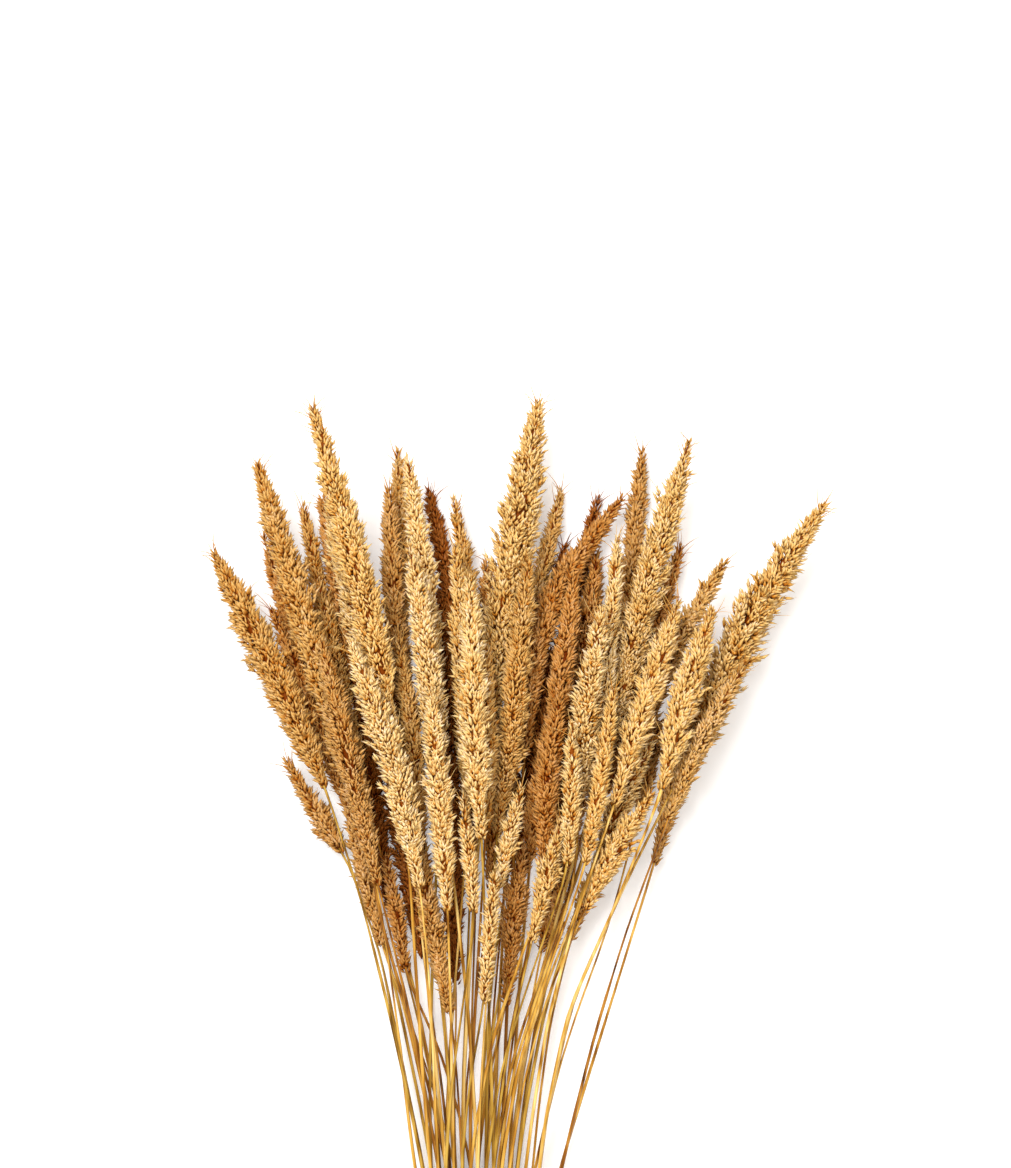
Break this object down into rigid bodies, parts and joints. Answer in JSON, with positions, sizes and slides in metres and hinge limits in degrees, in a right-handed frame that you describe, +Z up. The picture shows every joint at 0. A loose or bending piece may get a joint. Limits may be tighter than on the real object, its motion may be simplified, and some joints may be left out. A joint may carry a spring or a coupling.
{
  "type": "bundle of dried plume grass",
  "caption": "Bundle of dried plume grass lying down, slender feathery heads fanned out on thin straw stems held by a twine tie.",
  "frame": {"origin": "middle of the bundle's box, at the surface it lies on", "axes": "+Y along the bundle from the cut ends to the tips, +X across the fan, +Z up from the surface"},
  "size_m": [0.3048, 0.71, 0.0694],
  "materials": {
    "straw_pale": "pale cream straw, matt and feathery",
    "straw_honey": "honey straw, matt and feathery",
    "straw_gold": "golden straw, matt and feathery",
    "straw_tan": "tan straw, matt and feathery",
    "straw_brown": "warm brown straw, matt and feathery",
    "straw_dark": "dark reddish brown straw, matt and feathery",
    "twine": "plain natural fibre twine, matt"
  },
  "bodies": {
    "root": {"stalk_01": "straw_gold", "stalk_02": "straw_gold", "stalk_03": "straw_brown", "stalk_04": "straw_brown", "stalk_05": "straw_gold", "stalk_06": "straw_honey", "stalk_07": "straw_pale", "stalk_08": "straw_pale", "stalk_09": "straw_tan", "stalk_10": "straw_gold", "stalk_11": "straw_tan", "stalk_12": "straw_tan", "stalk_13": "straw_brown", "stalk_14": "straw_tan", "stalk_15": "straw_tan", "stalk_16": "straw_gold", "stalk_17": "straw_pale", "stalk_18": "straw_dark", "stalk_19": "straw_pale", "stalk_20": "straw_pale", "stalk_21": "straw_dark", "stalk_22": "straw_gold", "stalk_23": "straw_honey", "stalk_24": "straw_pale", "stalk_25": "straw_pale", "stalk_26": "straw_gold", "stalk_27": "straw_honey", "stalk_28": "straw_gold", "stalk_29": "straw_brown", "stalk_30": "straw_gold", "stalk_31": "straw_dark", "stalk_32": "straw_brown", "stalk_33": "straw_dark", "stalk_34": "straw_brown", "stalk_35": "straw_brown", "stalk_36": "straw_dark", "stalk_37": "straw_brown", "stalk_38": "straw_pale", "stalk_39": "straw_brown", "stalk_40": "straw_pale", "stalk_41": "straw_honey", "stalk_42": "straw_brown", "stalk_43": "straw_brown", "stalk_44": "straw_pale", "stalk_45": "straw_pale", "stalk_46": "straw_pale", "stalk_47": "straw_honey", "stalk_48": "straw_tan", "stalk_49": "straw_honey", "stalk_50": "straw_brown", "stalk_51": "straw_gold", "stalk_52": "straw_honey", "stalk_53": "straw_pale", "stalk_54": "straw_honey", "stalk_55": "straw_tan", "stalk_56": "straw_honey", "stalk_57": "straw_honey", "stalk_58": "straw_tan", "stalk_59": "straw_gold", "tie": "twine"}
  },
  "joints": []
}
